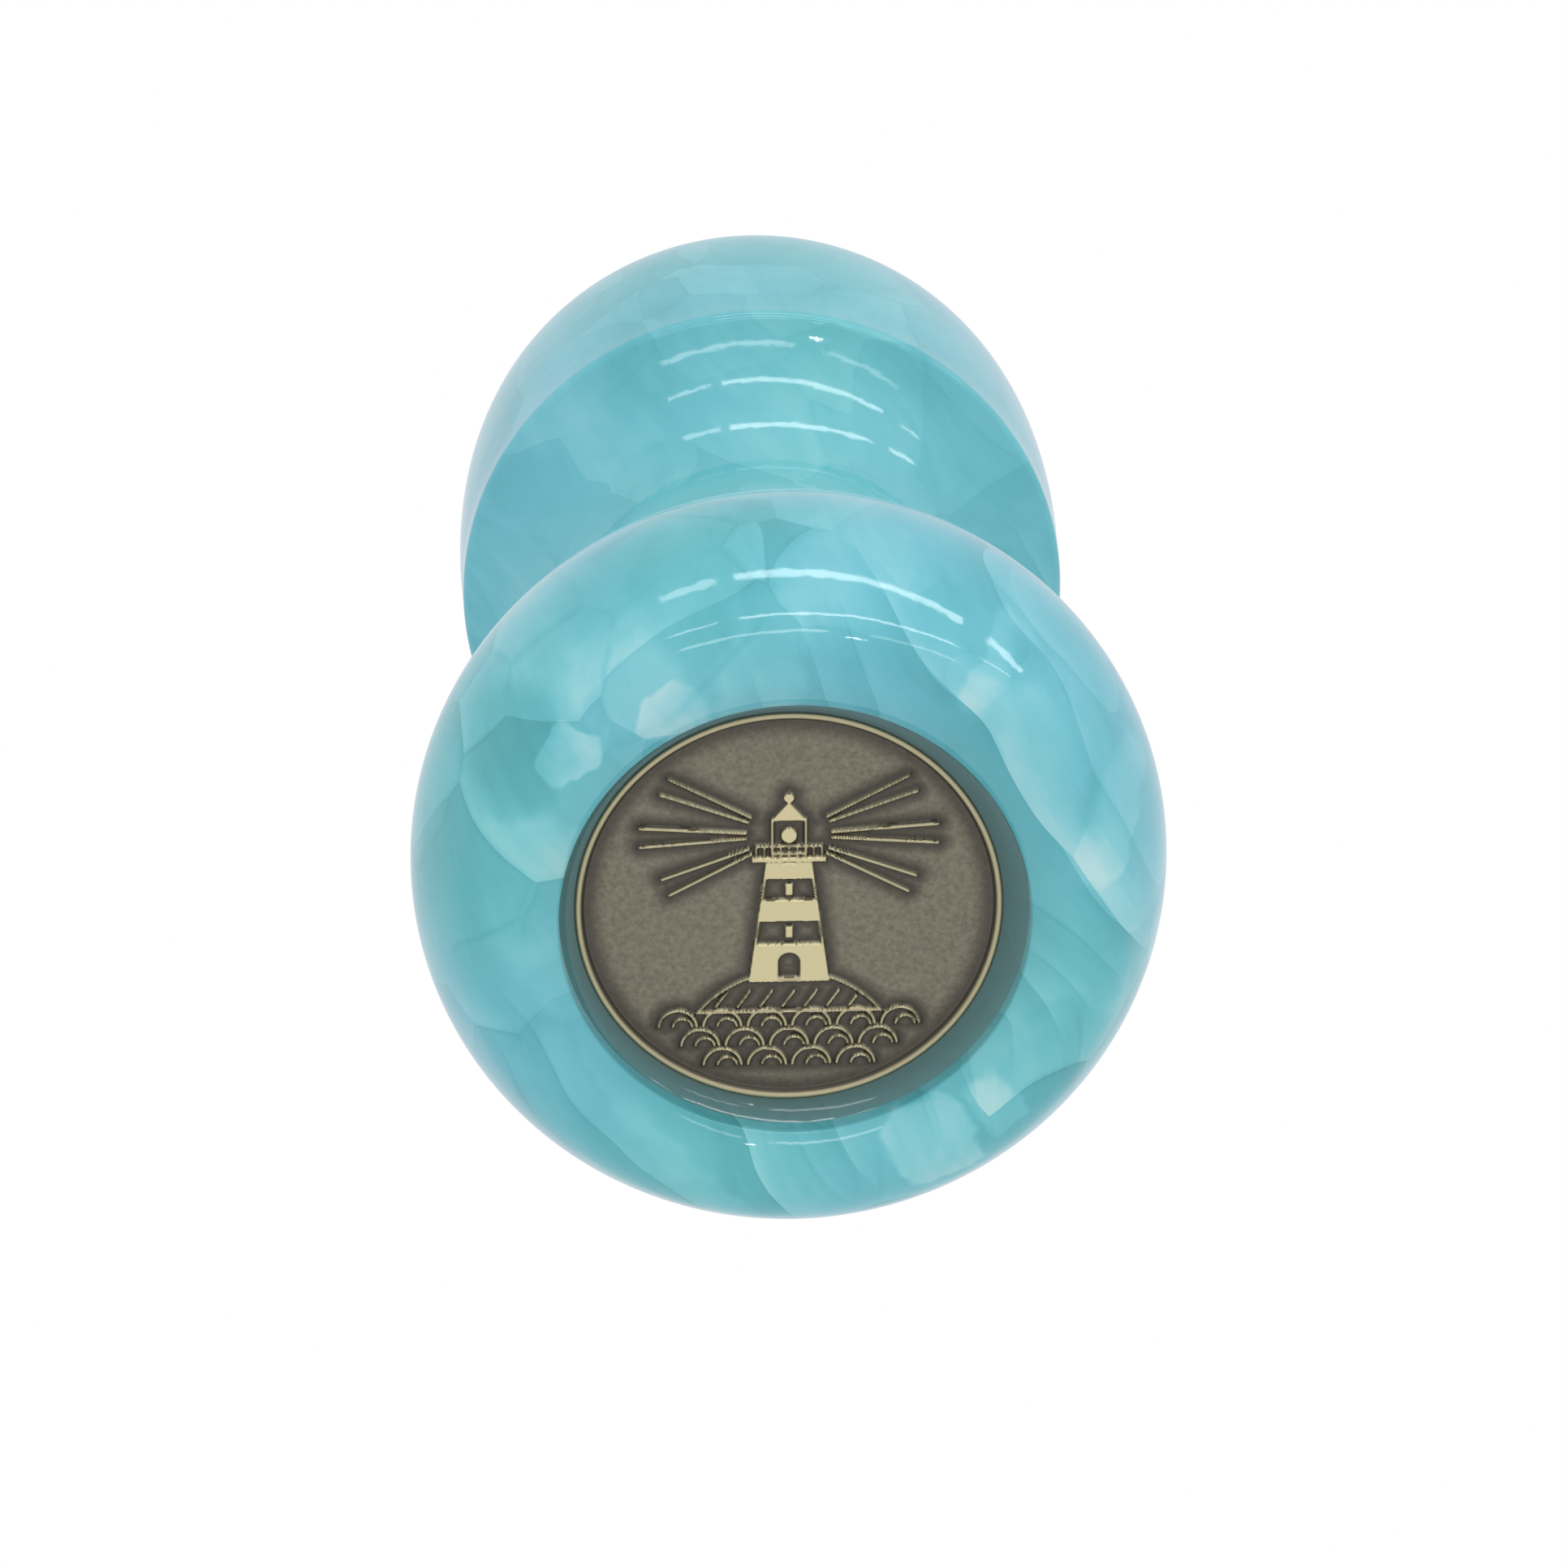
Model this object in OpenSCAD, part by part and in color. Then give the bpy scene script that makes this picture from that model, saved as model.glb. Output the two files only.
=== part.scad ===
// Turned resin handle for a shaving brush, standing on its foot, with the
// socket for the bristle knot at the top and a medallion let into the base.
// Millimetres, +Z up, origin at the centre of the ring that the foot stands on.

/* [Handle] */
// Overall height, from the standing ring to the mouth of the socket
handle_h = 64; // [60:0.2:70]
// Widest diameter of the foot
foot_d = 39.4; // [38:0.2:46]
// Height of the foot's widest point
foot_h = 8.7; // [8:0.1:9.5]
// Radius of the foot's rounded flank, in profile
foot_curve = 12.6; // [11.5:0.1:13.5]
// Diameter at the bottom of the cove, where the fingers hold
waist_d = 22.2; // [20:0.2:27]
// Height of the bottom of the cove
waist_h = 36; // [33:0.2:38]
// Radius of the cove, in profile
cove_r = 9; // [8:0.1:10]
// Diameter of the ridge above the cove
ridge_d = 35.2; // [33:0.2:35.8]
// Widest diameter of the grip
grip_d = 35.8; // [35:0.2:43]
// Distance from the mouth down to the grip's widest point
mouth_drop = 11.6; // [9:0.2:14]

/* [Knot socket] */
// Diameter of the drilled socket, the size of the knot that is glued in
socket_d = 24; // [20:1:28]
// Depth of the socket, rounded mouth included
socket_depth = 13; // [10:0.5:16]
// Wall left around the mouth, before the outside turns down
mouth_wall = 1.8; // [1.2:0.1:2.4]

/* [Base] */
// Radius of the rounded ring around the recess, in profile
ring_curve = 3.55; // [3:0.05:3.9]
// Width of the flat that the handle stands on
stand_w = 1.2; // [0.8:0.1:1.8]

/* [Medallion] */
// Diameter of the medallion
medal_d = 22; // [19:0.1:24]
// Thickness of the medallion, at its rim
medal_t = 2; // [1.6:0.1:2.4]
// Distance from the standing ring up to the medallion's rim
medal_inset = 2.5; // [2.2:0.1:3]
// How far to one side of the handle's axis the medallion was glued
medal_shift = 0.25; // [0:0.05:0.35]
// Width of the raised rim
rim_w = 0.5; // [0.4:0.05:0.8]
// Depth of the field below the rim
field_drop = 0.35; // [0.25:0.05:0.5]
// Depth of the emblem's top below the rim
emblem_drop = 0.1; // [0:0.05:0.2]

/* [Epoxy] */
// Clearance around the medallion that the epoxy fills
glue_gap = 1; // [0.6:0.1:1.4]
// Thickness of the epoxy between the medallion and the recess's floor
bed_t = 0.3; // [0.2:0.05:0.5]
// Drop of the epoxy's free surface below the medallion's rim, at the medallion's edge
fill_drop = 0.1; // [0:0.05:0.3]
// How far the epoxy climbs from there to the recess's wall
climb_h = 0.7; // [0.4:0.1:1]
// Radius of the epoxy's hollow surface, in profile
climb_curve = 2.4; // [1.6:0.1:3]

/* [Hidden] */
$fn = 96;

foot_r = foot_d / 2;
waist_r = waist_d / 2;
ridge_r = ridge_d / 2;
grip_r = grip_d / 2;
socket_r = socket_d / 2;
medal_r = medal_d / 2;
mouth_r = socket_r + mouth_wall;
recess_r = medal_r + glue_gap;
grip_h = handle_h - mouth_drop;
recess_h = medal_inset + medal_t + bed_t;
wall_h = medal_inset + fill_drop - climb_h;

mouth_round = 0.6;    // rounding of the socket's inner edge
lip_round = 0.3;      // rounding of the recess's lip
ridge_round = 0.6;    // rounding of the ridge
shoulder = 20;        // angle at which the foot's arc ends, above its widest point
point_r = 1.6;        // mark left by the drill's centre point
point_depth = 1.2;
steps = 16;           // straight stretches in each curve of the outline

resin_color = [0.41, 0.74, 0.78];
bronze_color = [0.56, 0.51, 0.40];
epoxy_color = [0.80, 0.86, 0.84, 0.5];

// Point at share t of a curve from a to d that leaves towards b and arrives from c
function curve_at(a, b, c, d, t) =
    pow(1 - t, 3) * a + 3 * pow(1 - t, 2) * t * b + 3 * (1 - t) * t * t * c + pow(t, 3) * d;
// The same curve as a list, without its first point
function curve(a, b, c, d) = [for (i = [1:steps]) curve_at(a, b, c, d, i / steps)];
// Points of an arc around centre c, from angle a0 to a1; first = 1 leaves out its first point
function arc(c, r, a0, a1, n = 6, first = 0) =
    [for (i = [first:n]) c + r * [cos(a0 + (a1 - a0) * i / n), sin(a0 + (a1 - a0) * i / n)]];
// Other short side of a right-angled triangle
function leg(long, short) = sqrt(long * long - short * short);
// Angle of the line from a to b
function bearing(a, b) = atan2(b[1] - a[1], b[0] - a[0]);

// Centres of the outline's arcs, as [radius, height]: each arc touches the next one
ring_h = leg(ring_curve, stand_w / 2);
foot_c = [foot_r - foot_curve, foot_h];
ring_c = [foot_c[0] + leg(foot_curve - ring_curve, foot_h - ring_h), ring_h];
cove_c = [waist_r + cove_r, waist_h];
ridge_x = ridge_r - ridge_round;
ridge_c = [ridge_x, waist_h + leg(cove_r + ridge_round, cove_c[0] - ridge_x)];

// Outside of the turning, from the standing ring up to the mouth
stand_a = asin(stand_w / 2 / ring_curve);
foot_a = bearing(foot_c, ring_c);
cove_a = bearing(cove_c, ridge_c);
foot_end = foot_c + foot_curve * [cos(shoulder), sin(shoulder)];
waist_side = [waist_r, waist_h];
foot_rise = waist_h - foot_end[1];
ridge_side = [ridge_r, ridge_c[1]];
grip_side = [grip_r, grip_h];
grip_rise = grip_h - ridge_c[1];
mouth_edge = [mouth_r, handle_h];
outside = concat(
    arc(ring_c, ring_curve, stand_a - 90, foot_a),
    arc(foot_c, foot_curve, foot_a, shoulder, 14, 1),
    curve(foot_end, foot_end + 0.33 * foot_rise * [-sin(shoulder), cos(shoulder)],
          waist_side - [0, 0.33 * foot_rise], waist_side),
    arc(cove_c, cove_r, 180, cove_a, 14, 1),
    arc(ridge_c, ridge_round, cove_a - 180, 0, 6, 1),
    curve(ridge_side, ridge_side + [0, 0.3 * grip_rise],
          grip_side - [0, 0.5 * grip_rise], grip_side),
    curve(grip_side, grip_side + [0, 0.6 * mouth_drop],
          mouth_edge + [0.72 * (grip_r - mouth_r), 0], mouth_edge));

// Knot socket, from its rounded mouth to the mark of the drill's point
socket_floor_h = handle_h - socket_depth;
socket = concat(
    arc([socket_r + mouth_round, handle_h - mouth_round], mouth_round, 90, 180),
    [[socket_r, socket_floor_h], [point_r, socket_floor_h], [0, socket_floor_h - point_depth]]);

// Recess in the base, from its floor over the rounded lip to the standing ring. The lip touches
// the ring's curve, or a flat web joins the two where the recess is narrow for the ring.
web_h = wall_h - 2 * lip_round;
web_edge = [ring_c[0] - leg(ring_curve, ring_h - web_h), web_h];
lip_x = recess_r + lip_round;
lip_c = [lip_x, ring_h - leg(ring_curve - lip_round, ring_c[0] - lip_x)];
lip_a = bearing(ring_c, lip_c);
lip = lip_x < web_edge[0] ?
    concat(arc([lip_x, web_h + lip_round], lip_round, -180, -90, 4),
           arc(ring_c, ring_curve, bearing(ring_c, web_edge), -90 - stand_a)) :
    concat(arc(lip_c, lip_round, -180, lip_a, 4),
           arc(ring_c, ring_curve, lip_a, -90 - stand_a, 6, 1));
recess = concat([[0, recess_h], [recess_r, recess_h]], lip);

module handle_body() {
    color(resin_color)
        rotate_extrude() polygon(concat(outside, socket, recess));
}

// Puts a shape made face up, with its rim at height 0, into the base
module in_recess() {
    translate([-medal_shift, 0, medal_inset]) rotate([180, 0, 0]) children();
}

// Emblem for a field of radius 10.5: a banded lighthouse on its rock, its beams and the sea
line_w = 0.18;
tower_low = -4.2;
tower_high = 2.6;
tower_foot_w = 4.2;
tower_top_w = 2.4;
bands = [[-4.2, -2], [-0.75, 0.5], [1.65, 2.6]];
lamp_y = 4.1;
rail_w = 3.5;
posts = 9;
beam_step = 24;
beam_spread = 4;
beam_start = 2.2;
beam_end = 7.6;
rock_r = 6;
rock_y = -9.6;
rock_low = -5.9;
wave_r = 0.98;
wave_pitch = 2.3;
wave_drop = 1.12;

module tower_shape(inset = 0) {
    polygon([[inset - tower_foot_w / 2, tower_low + inset], [tower_foot_w / 2 - inset, tower_low + inset],
             [tower_top_w / 2 - inset, tower_high - inset], [inset - tower_top_w / 2, tower_high - inset]]);
}

module tower() {
    difference() {
        tower_shape();
        tower_shape(line_w);
    }
    difference() {
        intersection() {
            tower_shape();
            for (band = bands) translate([-3, band[0]]) square([6, band[1] - band[0]]);
        }
        translate([-0.55, tower_low - 1]) square([1.1, 2.1]);
        translate([0, tower_low + 1.1]) circle(r = 0.55);
    }
    for (y = [-1.67, 0.73]) translate([-0.2, y]) square([0.4, 0.64]);
}

// Gallery with its rail, and the lamp room above it with a lens, a roof and a finial
module lamp_room() {
    translate([-1.9, tower_high]) square([3.8, 0.3]);
    translate([-rail_w / 2, tower_high + 0.82]) square([rail_w, 0.16]);
    for (i = [0:posts - 1])
        translate([(i / (posts - 1) - 0.5) * (rail_w - 0.14) - 0.07, tower_high + 0.2]) square([0.14, 0.7]);
    translate([-0.85, tower_high + 0.5]) difference() {
        square([1.7, 1.9]);
        translate([line_w, line_w]) square([1.7 - 2 * line_w, 1.9 - 2 * line_w]);
    }
    translate([0, lamp_y]) circle(r = 0.42);
    polygon([[-0.93, 4.95], [0.93, 4.95], [0, 6]]);
    translate([0, 6.2]) circle(r = 0.28);
}

// Each beam is a pair of lines that part as they leave the lamp
module beams() {
    for (side = [0, 1], i = [-1:1], part = [-1, 1])
        mirror([side, 0]) translate([0, lamp_y]) rotate(i * beam_step + part * beam_spread)
            translate([beam_start, -line_w / 2]) square([beam_end - 0.7 * abs(i) - beam_start, line_w]);
}

module rock_shape(inset = 0) {
    intersection() {
        translate([0, rock_y]) circle(r = rock_r - inset);
        translate([-rock_r, rock_low + inset]) square([2 * rock_r, 4]);
    }
}

module rock() {
    difference() {
        rock_shape();
        rock_shape(line_w);
        tower_shape();
    }
    intersection() {
        rock_shape(2 * line_w);
        for (i = [-3:3])
            translate([1.15 * i, -5.2]) rotate(55) translate([-0.5, -0.08]) square([1, 0.16]);
    }
}

// Each wave is the upper half of a ring with a smaller one inside, and each row has one wave fewer
module half_ring(r) {
    difference() {
        circle(r = r + line_w / 2);
        circle(r = r - line_w / 2);
        translate([-2, -4]) square([4, 4]);
    }
}

module waves() {
    for (row = [0:2], i = [0:5 - row])
        translate([wave_pitch * (i - (5 - row) / 2), -6.75 - wave_drop * row]) {
            half_ring(wave_r);
            translate([0.25, 0]) half_ring(0.5);
        }
}

module medallion() {
    field_r = medal_r - rim_w;
    color(bronze_color) in_recess() {
        difference() {
            translate([0, 0, -medal_t]) cylinder(r = medal_r, h = medal_t);
            translate([0, 0, -field_drop]) cylinder(r = field_r, h = medal_t);
        }
        translate([0, 0, -field_drop]) linear_extrude(field_drop - emblem_drop)
            scale(field_r / 10.5) {
                tower();
                lamp_room();
                rock();
                beams();
                waves();
            }
    }
}

// The free surface is hollow: it climbs from the medallion's edge to the recess's wall
module epoxy_bed() {
    wall_a = atan2(climb_h, glue_gap) + asin(norm([climb_h, glue_gap]) / 2 / climb_curve);
    hollow_c = [recess_r, wall_h] - climb_curve * [sin(wall_a), cos(wall_a)];
    color(epoxy_color) difference() {
        rotate_extrude() polygon(concat(
            [[0, recess_h], [0, hollow_c[1] + climb_curve]],
            arc(hollow_c, climb_curve, 90, 90 - wall_a, 10),
            [[recess_r, recess_h]]));
        in_recess() translate([0, 0, -medal_t]) cylinder(r = medal_r, h = medal_t + 1);
    }
}

handle_body();
medallion();
epoxy_bed();
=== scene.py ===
import math

import bpy
import numpy as np
from mathutils import Matrix, Vector


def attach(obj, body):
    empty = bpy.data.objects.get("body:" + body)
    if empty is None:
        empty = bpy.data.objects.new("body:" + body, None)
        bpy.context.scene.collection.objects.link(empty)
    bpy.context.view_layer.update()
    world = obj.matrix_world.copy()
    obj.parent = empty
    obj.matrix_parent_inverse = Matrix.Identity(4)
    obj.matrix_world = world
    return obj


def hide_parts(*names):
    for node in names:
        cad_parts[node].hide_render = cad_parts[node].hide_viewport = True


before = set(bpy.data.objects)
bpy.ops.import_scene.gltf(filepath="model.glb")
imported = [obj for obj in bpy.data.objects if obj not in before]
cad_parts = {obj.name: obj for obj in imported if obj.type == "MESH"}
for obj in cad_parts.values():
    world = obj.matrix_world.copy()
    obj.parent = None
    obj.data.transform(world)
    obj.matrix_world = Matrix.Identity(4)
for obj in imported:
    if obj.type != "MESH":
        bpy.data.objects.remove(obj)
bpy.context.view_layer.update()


# --- Camera -----------------------------------------------------------------------------------
# The handle is seen from below its foot, turned a little to one side and leaning to the left.

turn = math.radians(-5.04)
tilt = math.radians(26.07)
roll = math.radians(5.61)
side = Vector((math.sin(turn), -math.cos(turn), 0))
axis = Vector((0, 0, 1))
sight = axis * math.cos(tilt) - side * math.sin(tilt)
lift = side * math.cos(tilt) + axis * math.sin(tilt)
across = sight.cross(lift)
cam_up = math.cos(roll) * lift + math.sin(roll) * across
cam_right = math.cos(roll) * across - math.sin(roll) * lift

# it looks a little above the middle of the medallion's face, all in metres
medal_face = Vector((-0.00025, 0, 0.0025))
distance = 0.25008
aim_up, aim_left = 0.006425, 0.000267
camera_data = bpy.data.cameras.new("Camera")
camera_data.sensor_width = 36
camera_data.lens = 112.48
camera_data.clip_start = 0.01
camera_data.clip_end = 20
camera = bpy.data.objects.new("Camera", camera_data)
bpy.context.scene.collection.objects.link(camera)
bpy.context.scene.camera = camera
camera.location = medal_face - sight * distance
aim = medal_face + cam_up * aim_up - cam_right * aim_left
ahead = (aim - camera.location).normalized()
right = ahead.cross(cam_up).normalized()
up = right.cross(ahead)
camera.matrix_world = Matrix((
    (right.x, up.x, -ahead.x, camera.location.x),
    (right.y, up.y, -ahead.y, camera.location.y),
    (right.z, up.z, -ahead.z, camera.location.z),
    (0, 0, 0, 1),
))


# --- Studio -----------------------------------------------------------------------------------
# A bright white tent, with long tube lights on the side that the foot is seen from.

scene = bpy.context.scene
scene.view_settings.view_transform = "Standard"
world = bpy.data.worlds.new("White tent")
scene.world = world
world.use_nodes = True
tent = world.node_tree
way = tent.nodes.new("ShaderNodeTexCoord")
height_of = tent.nodes.new("ShaderNodeSeparateXYZ")
tent.links.new(way.outputs["Generated"], height_of.inputs[0])
spread = tent.nodes.new("ShaderNodeMapRange")
spread.inputs["From Min"].default_value = -1
tent.links.new(height_of.outputs["Z"], spread.inputs["Value"])
walls = tent.nodes.new("ShaderNodeValToRGB")
walls.color_ramp.elements[0].position = 0.0
walls.color_ramp.elements[0].color = (1.0, 1.0, 1.0, 1)
walls.color_ramp.elements[1].position = 1.0
walls.color_ramp.elements[1].color = (0.66, 0.68, 0.72, 1)
walls.color_ramp.elements.new(0.5).color = (0.90, 0.91, 0.93, 1)
tent.links.new(spread.outputs["Result"], walls.inputs["Fac"])
tent.links.new(walls.outputs["Color"], tent.nodes["Background"].inputs["Color"])

# A white card behind the handle, which the camera sees and the handle doesn't
card_mesh = bpy.data.meshes.new("White card")
card_half, card_z = 1.5, 1.2
card_mesh.from_pydata([(x * card_half, y * card_half, card_z)
                       for x, y in ((-1, -1), (1, -1), (1, 1), (-1, 1))], [], [(0, 3, 2, 1)])
card = bpy.data.objects.new("White card", card_mesh)
scene.collection.objects.link(card)
card_paint = bpy.data.materials.new("White card")
card_paint.use_nodes = True
glow = card_paint.node_tree.nodes["Principled BSDF"]
glow.inputs["Base Color"].default_value = (0, 0, 0, 1)
glow.inputs["Specular IOR Level"].default_value = 0
glow.inputs["Emission Color"].default_value = (1, 1, 1, 1)
glow.inputs["Emission Strength"].default_value = 1.0
card_mesh.materials.append(card_paint)
card.visible_diffuse = False
card.visible_glossy = False
card.visible_transmission = False
card.visible_shadow = False

# (name, angle from straight below towards the side the camera is on, from and to sideways
# in tube distances, tube width in metres, brightness)
tubes = [
    ("Upper tube", 104, -0.10, 1.03, 0.036, 6.5),
    ("Upper tube left", 104, -0.42, -0.18, 0.036, 4),
    ("Upper tube right", 104, 1.33, 2.0, 0.050, 6),
    ("Lower tube", 67, -0.10, 1.00, 0.032, 7),
    ("Lower tube left", 67, -0.42, -0.18, 0.024, 5),
    ("Lower tube right", 67, 1.30, 1.7, 0.028, 6),
    ("Low faint tube", 39, -0.30, 0.20, 0.034, 4),
    ("Low faint tube right", 39, 0.36, 0.80, 0.030, 3),
    ("Small lamp", 31, 0.26, 0.29, 0.016, 30),
]
tube_distance = 0.5
sideways = across.normalized()
for name, angle, start, end, width, brightness in tubes:
    toward = side * math.sin(math.radians(angle)) - axis * math.cos(math.radians(angle))
    light = bpy.data.lights.new(name, "AREA")
    light.shape = "RECTANGLE"
    light.size = (end - start) * tube_distance
    light.size_y = width
    light.energy = brightness * math.pi * light.size * width
    lamp = bpy.data.objects.new(name, light)
    scene.collection.objects.link(lamp)
    middle = sideways * (start + end) / 2 * tube_distance
    spot = medal_face + toward * tube_distance + middle
    up_edge = toward.cross(sideways).normalized()
    lamp.matrix_world = Matrix((
        (sideways.x, up_edge.x, toward.x, spot.x),
        (sideways.y, up_edge.y, toward.y, spot.y),
        (sideways.z, up_edge.z, toward.z, spot.z),
        (0, 0, 0, 1),
    ))
    lamp.visible_camera = False

# A pale floor. It shows only from above, so that the foot can be seen from below.
floor_mesh = bpy.data.meshes.new("Floor")
floor_half, floor_z = 2, -0.00005
floor_mesh.from_pydata([(x * floor_half, y * floor_half, floor_z)
                        for x, y in ((-1, -1), (1, -1), (1, 1), (-1, 1))], [], [(0, 1, 2, 3)])
floor = bpy.data.objects.new("Floor", floor_mesh)
scene.collection.objects.link(floor)
floor_paint = bpy.data.materials.new("Floor paint")
floor_paint.use_nodes = True
nodes = floor_paint.node_tree.nodes
links = floor_paint.node_tree.links
paint = nodes["Principled BSDF"]
paint.inputs["Base Color"].default_value = (0.82, 0.82, 0.82, 1)
paint.inputs["Roughness"].default_value = 0.6
seen_side = nodes.new("ShaderNodeNewGeometry")
clear = nodes.new("ShaderNodeBsdfTransparent")
pick = nodes.new("ShaderNodeMixShader")
links.new(seen_side.outputs["Backfacing"], pick.inputs["Fac"])
links.new(paint.outputs["BSDF"], pick.inputs[1])
links.new(clear.outputs["BSDF"], pick.inputs[2])
links.new(pick.outputs["Shader"], nodes["Material Output"].inputs["Surface"])
floor_mesh.materials.append(floor_paint)
floor.visible_diffuse = False
floor.visible_glossy = False
floor.visible_transmission = False
floor.visible_shadow = False


# --- Resin ------------------------------------------------------------------------------------
# Cast polyester in turquoise. Pale and deep chips of broken resin were stirred into the pour,
# so the figure runs right through the block and the turning cuts across it.

resin = bpy.data.materials.new("Turquoise resin")
resin.use_nodes = True
nodes = resin.node_tree.nodes
links = resin.node_tree.links
shader = nodes["Principled BSDF"]


def add(kind, **settings):
    """A new node: names of its properties set those, other names set its inputs."""
    node = nodes.new(kind)
    for key, value in settings.items():
        if hasattr(node, key):
            setattr(node, key, value)
        else:
            node.inputs[key.replace("_", " ")].default_value = value
    return node


def feed(value, socket):
    """Links an output, or sets a plain value."""
    if isinstance(value, bpy.types.NodeSocket):
        links.new(value, socket)
    else:
        socket.default_value = value


def sum_of(first, second, how="ADD", third=None, clamp=False):
    """A sum, or whatever other sum of two or three values is asked for by its name."""
    node = add("ShaderNodeMath", operation=how, use_clamp=clamp)
    feed(first, node.inputs[0])
    feed(second, node.inputs[1])
    if third is not None:
        feed(third, node.inputs[2])
    return node.outputs[0]


def vector_of(first, second, how="ADD"):
    """The same for vectors."""
    node = add("ShaderNodeVectorMath", operation=how)
    feed(first, node.inputs[0])
    feed(second, node.inputs["Scale"] if how == "SCALE" else node.inputs[1])
    return node.outputs["Value" if how in ("DOT_PRODUCT", "LENGTH") else "Vector"]


def fade(value, low, high):
    """0 at low, 1 at high, eased at both ends."""
    node = add("ShaderNodeMapRange", interpolation_type="SMOOTHSTEP")
    feed(value, node.inputs["Value"])
    node.inputs["From Min"].default_value = low
    node.inputs["From Max"].default_value = high
    return node.outputs["Result"]


def noise(vector, scale, detail=2.0, rough=0.5):
    node = add("ShaderNodeTexNoise", Scale=scale, Detail=detail, Roughness=rough)
    feed(vector, node.inputs["Vector"])
    return node


# One listed chip: a blunt lump, bright along one edge and clearing towards the other
chip = bpy.data.node_groups.new("Resin chip", "ShaderNodeTree")
for title, kind in (("Place", "NodeSocketVector"), ("Centre", "NodeSocketVector"),
                    ("Turn", "NodeSocketFloat"), ("Half size", "NodeSocketVector"),
                    ("Softness", "NodeSocketFloat"), ("Clearing", "NodeSocketFloat")):
    chip.interface.new_socket(title, in_out="INPUT", socket_type=kind)
chip.interface.new_socket("Amount", in_out="OUTPUT", socket_type="NodeSocketFloat")
nodes = chip.nodes
links = chip.links
asked = add("NodeGroupInput")
given_out = add("NodeGroupOutput")
from_centre = vector_of(asked.outputs["Place"], asked.outputs["Centre"], "SUBTRACT")
turned_chip = add("ShaderNodeVectorRotate", rotation_type="Z_AXIS")
links.new(from_centre, turned_chip.inputs["Vector"])
links.new(asked.outputs["Turn"], turned_chip.inputs["Angle"])
sized = vector_of(turned_chip.outputs[0], asked.outputs["Half size"], "DIVIDE")
parts = add("ShaderNodeSeparateXYZ")
links.new(sized, parts.inputs[0])
blunt = sum_of(sum_of(parts.outputs[0], 0.0, "ABSOLUTE"),
               sum_of(parts.outputs[1], 0.0, "ABSOLUTE"), "MAXIMUM")
roundness = vector_of(sized, (0, 0, 0), "LENGTH")
apart = sum_of(sum_of(blunt, 0.55, "MULTIPLY"), sum_of(roundness, 0.5, "MULTIPLY"))
shell = add("ShaderNodeMapRange", interpolation_type="SMOOTHSTEP")
links.new(apart, shell.inputs["Value"])
links.new(sum_of(1.0, asked.outputs["Softness"]), shell.inputs["From Min"])
links.new(sum_of(1.0, asked.outputs["Softness"], "SUBTRACT"), shell.inputs["From Max"])
slope = sum_of(sum_of(parts.outputs[0], asked.outputs["Clearing"], "MULTIPLY"), 1.0,
               "ADD", clamp=True)
links.new(sum_of(shell.outputs[0], slope, "MULTIPLY"), given_out.inputs["Amount"])

nodes = resin.node_tree.nodes
links = resin.node_tree.links
place = add("ShaderNodeTexCoord")
in_mm = vector_of(place.outputs["Object"], 1000.0, "SCALE")

# slow bends that carry every layer of the figure with them
swirl = vector_of(noise(in_mm, 0.07, 1.2, 0.4).outputs["Color"], (0.5, 0.5, 0.5), "SUBTRACT")
bent = vector_of(in_mm, vector_of(swirl, 9.0, "SCALE"))

# how wide the dark joints between neighbouring folds or chips are, as parts of a cell
joint_width = 0.06

# long folds that cross the foot from the upper left to the lower right
fold_turn = add("ShaderNodeVectorRotate", rotation_type="Z_AXIS", Angle=math.radians(33))
links.new(bent, fold_turn.inputs["Vector"])
fold_place = vector_of(fold_turn.outputs[0], (0.34, 0.040, 0.06), "MULTIPLY")
fold = add("ShaderNodeTexVoronoi", Scale=1.0, Randomness=0.85)
links.new(fold_place, fold.inputs["Vector"])
fold_across = add("ShaderNodeSeparateXYZ")
links.new(vector_of(fold_place, fold.outputs["Position"], "SUBTRACT"), fold_across.inputs[0])
fold_own = add("ShaderNodeSeparateColor")
links.new(fold.outputs["Color"], fold_own.inputs[0])
fold_rim = add("ShaderNodeTexVoronoi", feature="DISTANCE_TO_EDGE", Scale=1.0, Randomness=0.85)
links.new(fold_place, fold_rim.inputs["Vector"])
fold_line = fade(fold_rim.outputs["Distance"], joint_width, 0.0)

# blocky chips, each with its own tone and its own clearing edge
block_place = vector_of(bent, 0.17, "SCALE")
block = add("ShaderNodeTexVoronoi", Scale=1.0, Randomness=0.9)
links.new(block_place, block.inputs["Vector"])
block_across = add("ShaderNodeSeparateXYZ")
links.new(vector_of(block_place, block.outputs["Position"], "SUBTRACT"), block_across.inputs[0])
block_own = add("ShaderNodeSeparateColor")
links.new(block.outputs["Color"], block_own.inputs[0])
block_rim = add("ShaderNodeTexVoronoi", feature="DISTANCE_TO_EDGE", Scale=1.0, Randomness=0.9)
links.new(block_place, block_rim.inputs["Vector"])
block_line = fade(block_rim.outputs["Distance"], joint_width, 0.0)

fold_tone = sum_of(sum_of(fold_across.outputs[0], -0.32, "MULTIPLY"),
                   sum_of(sum_of(fold_own.outputs[0], 0.5, "SUBTRACT"), 0.13, "MULTIPLY"))
block_tone = sum_of(sum_of(block_across.outputs[1], 0.25, "MULTIPLY"),
                    sum_of(sum_of(block_own.outputs[0], 0.5, "SUBTRACT"), 0.18, "MULTIPLY"))

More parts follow.
